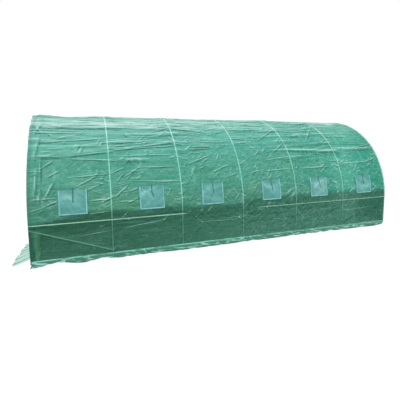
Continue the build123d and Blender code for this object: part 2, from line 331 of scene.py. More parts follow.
def film_material(name, alpha=1, cover=False, base=None, through=0.18):
    """Woven green film: paler to the top as painted light, painted shade at the foot of the walls, pale along its
    creases (partly whitening of the film, partly painted highlight) with painted shade in their hollows.
    """
    shade = Shade(name, Alpha=alpha, IOR=FILM_IOR, Specular_IOR_Level=0.07, Transmission_Weight=through)
    step, near, noise, slanted = shade.step, shade.near, shade.noise, shade.slanted
    times, plus, minus, paint = shade.times, shade.plus, shade.minus, shade.paint
    at, uv = shade.place(), shade.place("UV")
    x, _, z = shade.axes(at)
    run = minus(x, BACK_X)
    bays = times(run, 1 / BAY)
    flat = [times(axis, SECTION) for axis in shade.axes(uv)]
    cloud, fine = noise(at, 1.3, 4), noise(at, 42, 3)
    streak = noise(slanted(flat, 0.03, 1, 9), 2, 4, 0.6)
    mottle = step(fine, 0.4, 0.75, 0, 0.1)
    if base:
        shade.colour = base
        paint(FILM_CREST, mottle)
    else:
        # Green by height, paler to the top as painted light from above, with painted sky reflection high up towards
        # the back, warm in patches, deep at the front
        level = plus(z, times(minus(cloud, 0.5), 0.4))
        shade.tones(level, 0.7, 1.05, FILM_LOW, FILM_MID)
        paint(FILM_HIGH, step(level, 1.15, 1.75))
        paint(FILM_SKY_SHEEN, step(level, 1.2, 1.75), step(bays, 0, 4.5, 0.75, 0))
        drift = noise(at, 2.1, 3, 0.55)
        paint(FILM_WARM, step(drift, 0.5, 0.66, 0, 0.55), step(level, 1.05, 1.35, 1, 0))
        paint(FILM_DEEP, step(bays, 3.4, 5.5, 0, 0.9 if cover else 0.35))
    if cover:
        # Painted sky reflection on the roof of the back bays, with a darker hem under it and a greener crown, and a
        # pale streak on the front bay
        height = plus(z, times(minus(streak, 0.5), 0.07))
        roof_sheen = times(step(bays, 1, 5.2, 0.74, 0.06), step(streak, 0.38, 0.58, 0.26, 1.18))
        paint(FILM_TOP_SHEEN, step(height, 1.765, 1.805), step(height, 1.915, 1.955, 1, 0.2), roof_sheen)
        paint(FILM_LOW, near(height, 1.75, 0, 0.03, 0.5), roof_sheen)
        paint(FILM_MID, step(height, 1.925, 1.965, 0, 0.8), roof_sheen)
        paint(FILM_LINE, near(bays, 5.45, 0.2, 0.42, 0.7), near(height, 1.94, 0.014, 0.036))
    if not base:
        # Mottling, and crumple painted as pale lines and darker patches of painted highlight and shade
        fresh = step(bays, 4.2, 5.6, 1, 0.25)
        paint(FILM_CREST, mottle, fresh)
        paint(FILM_CREST, step(streak, 0.55, 0.85, 0, 0.18), fresh)
        paint(FILM_LOW, step(fine, 0.46, 0.3, 0, 0.3))
        crumple = noise(slanted(flat, 0.12, 13, 24), 1, 4, 0.65)
        patchy = step(drift, 0.36, 0.56, 1, 0.3)
        paint(FILM_LINE, step(crumple, 0.52, 0.7, 0, 0.34), patchy)
        paint(FILM_LOW, step(crumple, 0.48, 0.32, 0, 0.4), patchy)
        # Painted shade at the foot of the walls, with an edge that rises and falls along the tunnel
        rise = plus(step(bays, 2.99, 3.01, 0, 0.05), step(bays, 0, 0.7, 0.01, 0.13))
        rise = plus(rise, step(bays, 1, 1.5, 0, -0.04))
        edge = minus(z, plus(rise, times(cloud, 0.16)))
        low = step(edge, LEG - 0.11, LEG - 0.025, 0.95, 0)
        paler = step(bays, 0.8, 3.5, 0, 0.28)
        paint(shade.mix(step(streak, 0.45, 0.75, paler, 0.4), FILM_SHADE, FILM_LOW), low)
    # Ridges and hollows of the mesh, and thin drawn lines: pale on ridges and lines (partly whitening of the film,
    # partly painted highlight), painted shade in hollows
    crest = shade.value("crest")
    paint(FILM_LINE, step(crest, 0.1, 0.9, 0, 0.8))
    paint(FILM_HOLLOW, step(crest, -0.08, -0.6, 0, 0.8))
    drawn, rising, falling = (
        noise(slanted(flat, angle, along, across), 2.2, 4, rough, RIDGED)
        for angle, along, across, rough in ((0.05, 1.2, 5.5, 0.55), (0.75, 2.4, 6.5, 0.5), (-0.65, 2.6, 7, 0.5))
    )
    rumpled = step(bays, 1, 3.3, 0.45, 1)
    crossed = times(plus(times(rising, 0.6), times(falling, 0.5)), rumpled)
    web = times(step(shade.math("MINIMUM", rising, falling), 0, 0.005, 0.17, 0), rumpled if cover else 0.35)
    line = step(drawn, 0, 0.004, 0.15 if cover else 0.06, 0)
    if not base:
        # Grain instead of lines in the painted shade at the foot
        loud = minus(1, times(low, step(bays, 2.4, 3.4, 0.92, 0.55)))
        web, line = times(web, loud), times(line, loud)
        grain = noise(at, 75, 2)
        paint(FILM_MID, low, step(grain, 0.45, 0.7, 0, 0.22))
        paint(FILM_SHADE, low, step(grain, 0.5, 0.3, 0, 0.55))
    paint(FILM_LINE, web)
    paint(FILM_LINE, line)
    paint(FILM_HOLLOW, step(drawn, 0.04, 0.2, 0, 0.18))
    if cover:
        tube_lines(shade, at, run, bays, z)
    weave = times(shade.wave(uv, 210, "X"), shade.wave(uv, 210, "Y"))
    normal = shade.bump(crossed, 1, 0.028, shade.bump(drawn, 0.8, 0.016))
    rough = step(noise(at, 7, 3), 0.3, 0.7, 0.4, 0.56)
    return shade.use(Roughness=rough, Normal=shade.bump(weave, 0.25, 0.0006, normal))


def pane_material():
    """Pale translucent film of the window flaps."""
    shade = Shade("pane_film", Alpha=0.8, IOR=FILM_IOR)
    place = shade.place()
    cloud, crest = shade.noise(place, 9, 3), shade.value("crest")
    shade.tones(cloud, 0.3, 0.7, (0.105, 0.4, 0.36), (0.15, 0.49, 0.45))
    # Painted highlight on the raised waves of the flap, painted shade where it lies low
    shade.paint((0.3, 0.7, 0.66), shade.step(crest, 0.35, 1, 0, 0.6))
    shade.paint((0.07, 0.27, 0.25), shade.step(crest, 0.25, 0, 0, 0.55))
    u, v, _ = shade.axes(shade.place("UV"))
    flat = shade.plus(u, shade.axes(place)[0]), v
    drawn = shade.noise(shade.slanted(flat, -0.6, 2, 12), 1.4, 2, 0.4, RIDGED)
    # Dark wrinkle lines as painted shade
    shade.paint((0.055, 0.23, 0.205), shade.step(drawn, 0, 0.01, 0.34, 0))
    rough = shade.step(cloud, 0.3, 0.7, 0.28, 0.45)
    return shade.use(Roughness=rough, Normal=shade.bump(drawn, 0.4, 0.004))


def tape_material():
    """Pale blue-green hook tape with a felted face."""
    shade = Shade("hook_tape", Roughness=0.8)
    place = shade.place()
    fuzz = shade.noise(place, 420, 2)
    shade.tones(shade.noise(place, 14, 3), 0.3, 0.7, (0.13, 0.42, 0.41), (0.28, 0.61, 0.64))
    shade.paint((0.16, 0.44, 0.45), shade.step(fuzz, 0.35, 0.65, 0, 0.35))
    return shade.use(Normal=shade.bump(fuzz, 0.5, 0.0008))


def tie_material():
    """Dark woven ribbon."""
    shade = Shade("tie_ribbon", Roughness=0.7)
    rib = shade.wave(shade.place(), 160, "Z")
    shade.tones(rib, 0.2, 0.8, (0.022, 0.12, 0.095), (0.04, 0.18, 0.145))
    return shade.use(Normal=shade.bump(rib, 0.5, 0.0006))


def net_material():
    """Fine insect net: threads with open holes."""
    shade = Shade("insect_net", Roughness=0.6)
    place = shade.place("UV")
    thread = shade.math("MAXIMUM", shade.wave(place, 110, "X"), shade.wave(place, 110, "Y"))
    shade.tones(thread, 0.4, 0.9, (0.2, 0.42, 0.36), (0.34, 0.58, 0.5))
    return shade.use(Alpha=shade.step(thread, 0.55, 0.7, 0.25, 1), Normal=shade.bump(thread, 0.6, 0.0008))


def zip_material():
    """Dark green zip tape and moulded teeth."""
    shade = Shade("zip", Roughness=0.55)
    grain = shade.noise(shade.place(), 300, 2)
    shade.tones(grain, 0.3, 0.7, (0.018, 0.075, 0.05), (0.035, 0.12, 0.085))
    return shade.use(Normal=shade.bump(grain, 0.4, 0.0005))


def steel_material():
    """Galvanised tube: pale zinc with soft spangle and dull marks."""
    shade = Shade("galvanised_tube", Metallic=0.75)
    place = shade.place()
    spangle, dull = shade.noise(place, 60, 2), shade.noise(place, 5, 4)
    shade.tones(spangle, 0.35, 0.65, (0.52, 0.55, 0.54), (0.7, 0.72, 0.71))
    shade.paint((0.42, 0.44, 0.42), shade.step(dull, 0.55, 0.75, 0, 0.5))
    return shade.use(Roughness=shade.step(dull, 0.3, 0.7, 0.34, 0.55), Normal=shade.bump(spangle, 0.15, 0.0004))


# Film cover over the hoops
def arch_points(run, reach, lift):
    """Points of the arch at x = run, arc length reach from the left foot, lifted outwards."""
    turn = np.clip((reach - LEG) / FILM_R, 0, pi)
    over = np.clip(reach - LEG - ARC, 0, None)
    y = -np.cos(turn) * (FILM_R + lift)
    z = np.where(reach < LEG, reach, LEG + np.sin(turn) * (FILM_R + lift) - over)
    return stacked(run, y, z)


def arc_of(height):
    """Arc length from the foot to a height on the left wall."""
    return LEG + FILM_R * asin((height - LEG) / FILM_R)


WINDOW_FOOT, WINDOW_HEAD = arc_of(WINDOW_LOW), arc_of(WINDOW_HIGH)
WINDOW_MID = (WINDOW_FOOT + WINDOW_HEAD) / 2
WINDOW_H = WINDOW_HEAD - WINDOW_FOOT


def spaced(*stops):
    """Grid lines through stops, each followed by the number of steps to the next."""
    lines = [np.array([stops[0]])]
    for start, steps, end in zip(stops[:-2:2], stops[1::2], stops[2::2]):
        lines.append(np.linspace(start, end, steps + 1)[1:])
    return np.concatenate(lines)


SHOULDER_REACH = LEG + FILM_R * SHOULDER
RIDGE_REACH = SECTION / 2
BESIDE = 0.01  # grid lines on each side of a tube
bay_lines = [np.array([SHEET_BACK])]
for bay, middle in enumerate(WINDOW_XS):
    hoop_x = BACK_X + bay * BAY
    left, right = middle - WINDOW_W / 2, middle + WINDOW_W / 2
    bay_lines.append(spaced(hoop_x, 1, hoop_x + BESIDE, 20, left, 18, right, 20, hoop_x + BAY - BESIDE))
bay_lines.append(np.array([FRONT_X, SHEET_FRONT]))
us = np.concatenate(bay_lines)


def half_section(below, sill, window, wall, roof):
    """Grid lines from the foot to the ridge, with so many steps in each part of the wall."""
    return spaced(
        0, 1, FOOT_RAIL - BESIDE, 1, FOOT_RAIL, 1, FOOT_RAIL + BESIDE, below, LEG - BESIDE, 1, LEG, 1, LEG + BESIDE,
        sill, WINDOW_FOOT, window, WINDOW_HEAD, wall, SHOULDER_REACH - BESIDE, 1, SHOULDER_REACH, 1,
        SHOULDER_REACH + BESIDE, roof, RIDGE_REACH - BESIDE, 1, RIDGE_REACH,
    )


left_half, right_half = half_section(60, 14, 40, 120, 220), half_section(40, 9, 24, 64, 120)
ss = np.concatenate([left_half, SECTION - right_half[-2::-1]])
rails = [FOOT_RAIL, LEG, SHOULDER_REACH, RIDGE_REACH]
rails += [SECTION - reach for reach in rails[2::-1]]
up_film = np.minimum(ss, SECTION - ss)
fold, crest = np.zeros((len(us), len(ss))), np.zeros((len(us), len(ss)))
SWELL = 1.6  # how much slower a crease fades above its ridge than below it
STEEP_WIDTH = 0.015  # least width of an upright crease
RIGHT_WIDTH = 0.011  # least width on the coarser grid of the right side
CREST_HEIGHT, CREST_WIDTH = 0.009, 0.016  # a crease this high and no wider is painted in full


def crease(side, run, reach, angle, half, width, height, bow=0.0):
    """Adds one crease to the left (-1) or right (1) side: a swelling and a ridge over a hollow."""
    upward = ss if side < 0 else SECTION - ss
    width = max(width, STEEP_WIDTH * abs(sin(angle)), 0.0 if side < 0 else RIGHT_WIDTH)
    far = half + 8 * width
    near = np.ix_(np.abs(us - run) < far, np.abs(upward - reach) < far)
    du, ds = us[near[0]] - run, upward[near[1]] - reach
    c, s = cos(angle), sin(angle)
    along = du * c + ds * s
    wander = bow * along**2 + 0.0014 * np.sin(along * 17 + run * 40) + 0.0008 * np.sin(along * 41 + reach * 60)
    across = (ds * c - du * s - wander) / width
    fade = unit(1 - (along / half) ** 2)
    swell = np.where(across > 0, np.exp(-(across / SWELL)), bell(across))
    ridge, hollow = bell(across / 0.8), bell((across + 1.7) / 0.9)
    fold[near] += height * fade * (swell - 0.65 * hollow)
    # Paint for the crease: a pale ridge line (partly whitening, partly painted highlight) over painted shade in the
    # hollow below
    crest[near] += height / CREST_HEIGHT * min(1.0, CREST_WIDTH / width) * fade * (ridge - 0.75 * hollow)


rng = np.random.default_rng(11)


def crease_group(side, run, reach, angle, half, height):
    """A crease with up to three lesser ones beside it."""
    for lesser in range(rng.integers(1, 5)):
        crease(
            side, run + rng.normal(0, 0.25) * half, reach + rng.normal(0, 0.035) * lesser,
            angle + rng.normal(0, 0.06), half * rng.uniform(0.5, 1), rng.uniform(0.0065, 0.012),
            height * rng.uniform(0.5, 1), rng.normal(0, 0.12),
        )


# Main creases of the left side: run from hoop 1 and reach up the film in cm, degrees, half length in cm, height in mm
MAIN_CREASES = (
    (54, 213, -3, 50, 13), (70, 242, 14, 32, 12), (30, 230, 4, 30, 10), (56, 171, 5, 40, 13), (77, 146, 6, 30, 12),
    (79, 136, -4, 32, 13), (21, 142, -2, 20, 8), (74, 112, 4, 26, 10), (29, 116, 29, 9, 12), (24, 95, 63, 12, 11),
    (22, 130, 40, 10, 11), (69, 104, 28, 16, 11), (79, 96, 22, 11, 10), (24, 76, 25, 10, 8), (86, 78, 2, 13, 10),
    (18, 83, 2, 16, 8), (7, 200, 77, 20, 9), (8, 196, -63, 15, 9), (160, 216, 5, 52, 13), (163, 179, -2, 38, 13),
    (158, 156, 4, 42, 13), (157, 142, 1, 42, 11), (111, 118, 27, 11, 11), (130, 115, 34, 16, 12),
    (166, 122, 0, 30, 10), (165, 100, -3, 44, 10), (114, 88, 42, 16, 11), (182, 198, 24, 20, 11),
    (190, 190, 36, 24, 12), (249, 221, 9, 52, 12), (235, 133, 21, 24, 12), (269, 117, 21, 16, 12),
    (275, 190, 20, 22, 9), (373, 186, 35, 34, 13), (387, 155, 37, 20, 13), (472, 194, 50, 36, 12),
    (369, 110, 3, 30, 9), (376, 131, 6, 26, 9), (448, 112, 2, 33, 9), (541, 119, 2, 34, 10), (579, 123, 14, 20, 10),
    (540, 220, 3, 36, 12), (350, 225, 5, 36, 12), (440, 224, -4, 34, 12), (75, 60, 4, 30, 7), (145, 40, 7, 36, 8),
    (80, 33, 5, 26, 6), (260, 34, -1, 40, 6), (450, 36, 3, 40, 7), (540, 32, 2, 34, 6), (7, 30, 84, 16, 4),
    (10, 14, 76, 12, 4), (8, 105, 86, 22, 8), (13, 120, 88, 20, 7), (8, 160, 84, 24, 7), (12, 86, 80, 12, 7),
)
MAIN_WIDTH = 0.0085
for run, reach, angle, half, height in MAIN_CREASES:
    crease(-1, BACK_X + run / 100, reach / 100, radians(angle), 1.15 * half / 100, MAIN_WIDTH, height / 1000)
# Shallow hollows along the roof, painted dark along their middle as shade
ROOF_HOLLOWS = ((0.62, 2.6, 0.38), (1.48, 2.57, 0.42), (2.5, 2.55, 0.4), (3.45, 2.52, 0.4), (0.6, 2.09, 0.46))
for run, reach, half in ROOF_HOLLOWS:
    crease(-1, BACK_X + run, reach, 0.0, half, 0.024, -0.006)


def drawn_run(power):
    """A random place along the tunnel, more often near the back for a power over 1."""
    return BACK_X + BAYS * BAY * rng.uniform(0, 1) ** power


for side, _ in SIDES:
    for _ in range(70):  # wide swellings of the roof
        run, reach = rng.uniform(BACK_X, FRONT_X), LEG + FILM_R * rng.uniform(0.5, 1.56)
        half, width = rng.uniform(0.3, 0.8), rng.uniform(0.022, 0.036)
        crease(side, run, reach, rng.normal(0.02, 0.06), half, width, rng.uniform(0.006, 0.013))
    for _ in range(170):  # long creases of the roof
        run, reach = drawn_run(1.2), LEG + FILM_R * rng.uniform(0.66, 1.56)
        height = rng.uniform(0.005, 0.011) * (0.5 + 0.4 * reach)
        crease_group(side, run, reach, rng.normal(0.02, 0.1), rng.uniform(0.1, 0.5), height)
    for _ in range(120):  # level creases of the wall
        run, reach = rng.uniform(BACK_X, FRONT_X), rng.uniform(0.66, 1.75)
        height = rng.uniform(0.003, 0.008)
        crease_group(side, run, reach, rng.normal(0.08, 0.25), rng.uniform(0.06, 0.26), height)
    for _ in range(280):  # short slanted creases
        run, reach = drawn_run(0.65), rng.uniform(0.6, 2.45)
        angle = rng.choice((0.75, 0.95, 0.55, -0.7)) + rng.normal(0, 0.15)
        crease_group(side, run, reach, angle, rng.uniform(0.03, 0.14), rng.uniform(0.004, 0.009))
    for _ in range(130):  # low creases of the dark band
        run, reach = drawn_run(0.8), rng.uniform(0.05, 0.58)
        angle = rng.normal(0.05, 0.2) if rng.uniform() < 0.5 else rng.choice((0.8, -0.8))
        crease_group(side, run, reach, angle, rng.uniform(0.04, 0.24), rng.uniform(0.001, 0.005))

# Smoother film on the roof of the front bay
CALM = 0.6  # share of its creases that it loses
calm = unit((us - FRONT_X + 1.3) / 0.4)[:, None] * unit((up_film - 1.4) / 0.2)
fold *= 1 - CALM * calm
crest *= 1 - CALM * calm

# Flat round the windows
for middle in WINDOW_XS:
    away_x = np.clip(np.abs(us - middle) - FLAP_W / 2, 0, None)
    for centre in (WINDOW_MID, SECTION - WINDOW_MID):
        away_s = np.clip(np.abs(ss - centre) - WINDOW_H / 2 - FLAP_LAP, 0, None)
        away = np.hypot(away_x[:, None], away_s)
        fold *= np.clip(away / 0.07, 0.05, 1)
        crest *= unit(away / 0.04)

# Slack between the tubes
SLACK = 0.012
bay_part = unit((us - BACK_X) / BAY % 1.0)
bay_part[(us <= BACK_X) | (us >= FRONT_X)] = 0
between_hoops = (4 * bay_part * (1 - bay_part)) ** 0.6
panel = np.clip(np.searchsorted(rails, ss) - 1, 0, len(rails) - 2)
rail_low, rail_high = np.array(rails)[panel], np.array(rails)[panel + 1]
panel_part = unit((ss - rail_low) / (rail_high - rail_low))
between_rails = (4 * panel_part * (1 - panel_part)) ** 0.6
lift = fold - SLACK * between_hoops[:, None] * between_rails

# No lower than the tubes under it
BRACE_LIFT = -0.0028  # where the film rests on a brace
TUBE_LIFT = -0.0004  # where it rests on a hoop or a rail
brace_height = np.full((len(us), 1), -1.0)
for end_x, way in ((BACK_X, 1), (FRONT_X, -1)):
    along = (us - end_x) * way
    in_bay = (along > 0) & (along < BAY)
    brace_height[in_bay, 0] = BRACE_TOP - BRACE_SLOPE * along[in_bay]
lift = np.maximum(lift, BRACE_LIFT - 0.15 * np.abs(up_film - brace_height))


def over_tube(distance):
    """Lowest lift of the film at a distance from the crown of a tube under it."""
    bend = 0.03
    drop = bend - np.sqrt(np.clip(bend**2 - distance**2, 0, None))
    return np.where(distance < 0.022, TUBE_LIFT - drop, -1.0)


hoop_off = np.abs((us - BACK_X + BAY / 2) % BAY - BAY / 2)
lift = np.maximum(lift, over_tube(hoop_off)[:, None])
for rail in rails:
    lift = np.maximum(lift, over_tube(np.abs(ss - rail)))
from_ridge = np.abs(ss - RIDGE_REACH)
bunched = bell((us - BACK_X - 0.06) / 0.12)[:, None] * unit(1.6 - from_ridge)
lift = np.clip(lift + 0.01 * bunched, -0.03, 0.024)
end_rows = [0, 1, -2, -1]
lift[end_rows] = np.clip(lift[end_rows], TUBE_LIFT, 0.008)

points = arch_points(us[:, None], ss, lift)
eave, peak = unit(1 - from_ridge / 1.3), unit(1 - from_ridge / 0.55)
points[0, :, 0] -= 0.055 * eave * (0.85 + 0.15 * np.sin(ss * 23)) + 0.026 * peak
points[1, :, 0] -= 0.02 * eave + 0.01 * peak
cell_x, cell_s = (us[:-1] + us[1:]) / 2, (ss[:-1] + ss[1:]) / 2
cell_up = np.minimum(cell_s, SECTION - cell_s)
in_x = np.min([np.abs(cell_x - middle) for middle in WINDOW_XS], 0) < WINDOW_W / 2
in_s = (cell_up > WINDOW_FOOT) & (cell_up < WINDOW_HEAD)
keep = ~(in_x[:, None] & in_s)
uv = stacked((us[:, None] - SHEET_BACK) / SECTION, ss / SECTION)
film = film_material("film", cover=True)
COVER_BAYS = 2
seams = [0, *(int(np.argmin(np.abs(us - BACK_X - hoop * BAY))) for hoop in (2, 4)), len(us) - 1]
covers = []
names = ("back_cover", "middle_cover", "front_cover")
for name, first, last, bays in zip(names, seams, seams[1:], ((1, 2), (3, 4), (5, 6))):
    part = slice(first, last + 1)
    cover = grid_piece(name, points[part], uv[part], keep[first:last], crest=crest[part])
    dress(cover, film, "film", *[f"cover_bay_{bay}" for bay in bays])
    covers.append(cover)

# Window flaps, their hook tape, their ties and the nets behind them
FLAP_FOOT, FLAP_HEAD = arc_of(WINDOW_LOW - FLAP_LAP), arc_of(WINDOW_HIGH + FLAP_LAP)
FLAP_H = FLAP_HEAD - FLAP_FOOT
FLAP_LIFT = 0.0021
TAPE_W = 0.018
TAPE_STEPS = 14
TAPE_PROFILE = ((0.0, 0.0004), (0.0012, 0.0018), (TAPE_W - 0.0012, 0.0018), (TAPE_W, 0.0004))  # inset, height
TIE_W = 0.013
TIE_L = 0.19
TIE_RISE = 0.025
TIE_PROFILE = ((-1, 0.0), (-0.6, 0.0007), (0.6, 0.0007), (1, 0.0), (0.6, -0.0005), (-0.6, -0.0005))  # part, height
TIE_BENDS = (0.002, 0.03, 0.004, 0.012, 0.022, 0.006)  # sideways, at the foot of each bay's tie
NET_GAP = 0.0004
NET_SAG = 0.004


def wall_points(side, run, reach, lift):
    """Points on the left (-1) or right (1) wall."""
    return arch_points(run, reach if side < 0 else SECTION - reach, lift)


def unit_grid(across, upward):
    """Places across (-1 to 1) and up (0 to 1) a flap or a net."""
    return np.linspace(-1, 1, across)[:, None], np.linspace(0, 1, upward)


def flap_waves(seed):
    """Lift of one flap over its seat, as a function of places across (-1 to 1) and up (0 to 1)."""
    draw = np.random.default_rng(seed)
    lines = [
        (draw.uniform(-0.8, 0.8), draw.uniform(0.15, 0.85), draw.uniform(-1.2, 0.9), draw.uniform(0.1, 0.22),
         draw.uniform(0.0012, 0.0034))
        for _ in range(7)
    ]

    def waves(across, upward):
        total = 0.0
        for centre, level, slope, width, height in lines:
            off = (upward - level) - slope * (across - centre) * 0.45
            total = total + height * bell(off / width * 1.8) * bell(across - centre)
        rim = unit(4 * (1 - np.abs(across))) * unit(5 * upward) * unit(5 * (1 - upward))
        return total * (0.15 + 0.85 * rim)

    return waves


def flap_grid(side, mid, waves, across, upward, above):
    """Points of a flap at places across and up it, that far above its seat."""
    lift = FLAP_LIFT + waves(across, upward) + above
    return wall_points(side, mid + across * FLAP_W / 2, FLAP_FOOT + upward * FLAP_H, lift)


def make_pane(name, side, mid, waves):
    """Film of one window flap."""
    across, upward = unit_grid(29, 27)
    uv = stacked((across + 1) / 2 * FLAP_W, upward * FLAP_H)
    return grid_piece(name, flap_grid(side, mid, waves, across, upward, 0.0), uv, crest=waves(across, upward) / 0.006)


def make_tape(name, side, mid, waves):
    """Hook tape down the flap's sides and along its foot: a flat band with rounded edges."""
    corner = np.arange(3 * TAPE_STEPS + 1) / TAPE_STEPS
    line_x, line_s = (np.interp(corner, range(4), stops) for stops in ((-1, -1, 1, 1), (1, -1, -1, 1)))
    rows = []
    for inset, above in TAPE_PROFILE:
        across = line_x * (1 - 2 * inset / FLAP_W)
        upward = np.maximum((line_s + 1) / 2, inset / FLAP_H)
        rows.append(flap_grid(side, mid, waves, across, upward, above))
    points = np.stack(rows)
    return grid_piece(name, points, points[:, :, [0, 2]])


def make_tie(name, side, mid, waves, seed, bend):
    """Tie that hangs from just over the head of the flap, with a bend in its lower half."""
    draw = np.random.default_rng(seed)
    lean, swing = draw.uniform(-0.01, 0.016), draw.uniform(0.001, 0.004)
    steps, ring = 24, len(TIE_PROFILE)
    part = np.linspace(0, 1, steps)
    bent = bend * unit((part - 0.55) / 0.45)
    middle = (lean * part + bent + 0.002 * np.sin(part * 5)) / (FLAP_W / 2)
    upward = 1 + (TIE_RISE - part * TIE_L) / FLAP_H
    above = 0.0022 + swing * part**3 + 0.0008 * np.sin(part * 9) ** 2
    rows = []
    for off, height in TIE_PROFILE:
        rows.append(flap_grid(side, mid, waves, middle + off * TIE_W / FLAP_W, upward, above + height))
    points = np.stack(rows, 1).reshape(-1, 3)
    faces = ring_faces(steps, ring)
    faces += [tuple(range(ring))[::-1], tuple(range((steps - 1) * ring, steps * ring))]
    return new_piece(name, points, faces, points[:, [0, 2]])


def make_net(side, mid):
    """One window's net, a little slack: (points, faces, uvs)."""
    across, upward = unit_grid(15, 13)
    slack = -0.0006 - NET_SAG * (1 - across**2) * 4 * upward * (1 - upward)
    run = mid + across * (WINDOW_W / 2 - NET_GAP)
    reach = WINDOW_FOOT + NET_GAP + upward * (WINDOW_H - 2 * NET_GAP)
    points = wall_points(side, run, reach, slack)
    return points, grid_faces(*slack.shape), stacked(across * WINDOW_W / 2, upward * WINDOW_H)


pane_film, tape_cloth, tie_cloth, net_cloth = pane_material(), tape_material(), tie_material(), net_material()
for side, word in SIDES:
    nets = joined(f"{word}_nets", [make_net(side, mid) for mid in WINDOW_XS])
    dress(nets, net_cloth, "net", f"{word}_window_nets")
    for bay, mid in enumerate(WINDOW_XS):
        waves = flap_waves(100 + bay + 10 * side)
        start, end = f"{word}_window", str(bay + 1)
        pane = make_pane(f"{start}_pane_{end}", side, mid, waves)
        dress(pane, pane_film, "window_film", f"{start}_flap_{end}")
        tape = dress(make_tape(f"{start}_tape_{end}", side, mid, waves), tape_cloth, "window_film")
        tie = make_tie(f"{start}_tie_{end}", side, mid, waves, 300 + bay + 10 * side, TIE_BENDS[bay])
        dress(tie, tie_cloth, "window_film")
        cover = covers[bay // COVER_BAYS]

# End films, with the doorways
END_R = HALF_W
END_EDGE = 1.47  # finer grid outside this half width
END_LOW, END_HIGH = 74, 12  # rows below and above the head of the doorway


def stroke(u, v, angle, half, width):
    """Places across a crease, in its widths, and its strength along it, for places off its middle."""
    c, s = cos(angle), sin(angle)
    return (v * c - u * s) / width, unit(1 - ((u * c + v * s) / half) ** 2)


def head_of(y):
    """Height of the arch over a place across the end."""
    return LEG + np.sqrt(np.clip(END_R**2 - y**2, 0, None))


def end_creases(seed, count):
    """Creases of an end film: (y, z, angle, half length, width, height)."""
    draw = np.random.default_rng(seed)
    found = []
    for _ in range(count):
        y, z = draw.uniform(-1.45, 1.45), draw.uniform(0.05, 1.9)
        angle = draw.normal(0.1, 0.35) if draw.uniform() < 0.6 else draw.normal(1.4, 0.25)
        found.append((y, z, angle, draw.uniform(0.08, 0.4), draw.uniform(0.01, 0.024), draw.uniform(0.001, 0.005)))
    return found


def end_lift(y, z, creases):
    """Lift of an end film off its frame."""
    total = 0.0
    for centre, level, angle, half, width, height in creases:
        across, fade = stroke(y - centre, z - level, angle, half, width)
        total = total + height * fade * (bell(across) - 0.4 * bell(across - 1.4))
    rim = unit((head_of(y) - z) / 0.06) * unit((END_R - np.abs(y)) / 0.06)
    rim = rim * unit(np.abs(np.abs(y) - DOOR_W / 2) / 0.05)
    return np.clip(total * rim, -0.0004, 0.012)


def make_end(name, way, plane, creases):
    """End film at x = plane, facing way (-1 or 1), open at the doorway."""
    ys = spaced(-END_R, 4, -END_EDGE, 46, -DOOR_W / 2, 40, DOOR_W / 2, 46, END_EDGE, 4, END_R)
    sill = np.where(np.abs(ys) <= DOOR_W / 2 + 1e-6, DOOR_H, DOOR_H * head_of(ys) / head_of(DOOR_W / 2))
    low = np.linspace(0, 1, END_LOW + 1) * sill[:, None]
    high = sill[:, None] + np.linspace(0, 1, END_HIGH + 1)[1:] * (head_of(ys) - sill)[:, None]
    zs = np.concatenate([low, high], 1)
    y = ys[:, None]
    lift = end_lift(y, zs, creases)
    middle = (ys[:-1] + ys[1:]) / 2
    keep = ~((np.abs(middle) < DOOR_W / 2)[:, None] & (np.arange(zs.shape[1] - 1) < END_LOW))
    points = stacked(plane + way * lift, y, zs)
    # Creases are painted pale, partly whitening of the film and partly painted highlight
    return grid_piece(name, points, stacked(y, zs) / SECTION, keep, way > 0, np.abs(lift) / 0.014)


end_film = film_material("end_film", through=0.06)
for name, way, plane, node, end_hoop in (
    ("back_end_film", -1, SHEET_BACK + SHEET_GAP, "back_end_sheet", "hoop_1"),
    ("front_end_film", 1, SHEET_FRONT - SHEET_GAP, "front_end_sheet", "hoop_7"),
):
    end = dress(make_end(name, way, plane, end_creases(40 + way, 170)), end_film, "film", node)

# Back door, zipped shut
DOOR_GAP = 0.0005
ZIP_OUT = 0.0008  # tape off the sheet
ZIP_CHAIN = 0.004  # half width of the chain
TOOTH_PITCH, TOOTH_H = 0.008, 0.0045
TOOTH_OUT, TOOTH_HALF, TOOTH_SHIFT = 0.0019, 0.003, 0.0014


def block(low, high):
    """A box with its corners at low and high: (points, faces, uvs)."""
    corners = np.array([[(low, high)[i >> k & 1][k] for k in range(3)] for i in range(8)])
    faces = [(0, 2, 3, 1), (4, 5, 7, 6), (0, 1, 5, 4), (2, 6, 7, 3), (0, 4, 6, 2), (1, 3, 7, 5)]
    return corners, faces, corners[:, 1:]


def zip_parts(way, plane, y, top, half):
    """Tape and teeth of one zip that runs up to a height, on the outside of an end."""
    parts = []
    rows = np.linspace(0.004, top, 60)
    for a, b in ((-half, -ZIP_CHAIN), (-ZIP_CHAIN, ZIP_CHAIN), (ZIP_CHAIN, half)):
        outs = [ZIP_OUT + (0.0006 if abs(off) <= ZIP_CHAIN else 0.0) for off in (a, b)]
        tape = np.concatenate([stacked(plane + way * out, y + off, rows) for out, off in zip(outs, (a, b))])
        parts.append((tape, grid_faces(2, len(rows), flip=True), tape[:, 1:]))
    back, front = sorted((plane + way * ZIP_OUT, plane + way * TOOTH_OUT))
    for k in range(int(top / TOOTH_PITCH) - 1):
        z = TOOTH_PITCH * (k + 1)
        mid = y + (TOOTH_SHIFT if k % 2 else -TOOTH_SHIFT)
        parts.append(block((back, mid - TOOTH_HALF, z), (front, mid + TOOTH_HALF, z + TOOTH_H)))
    return parts


def door_zips(name, way, plane, out, top, half):
    """The two zips of a door, that far outside its edges."""
    parts = [part for side, _ in SIDES for part in zip_parts(way, plane, side * (DOOR_W / 2 + out), top, half)]
    return dress(joined(name, parts), zip_cloth, "film")


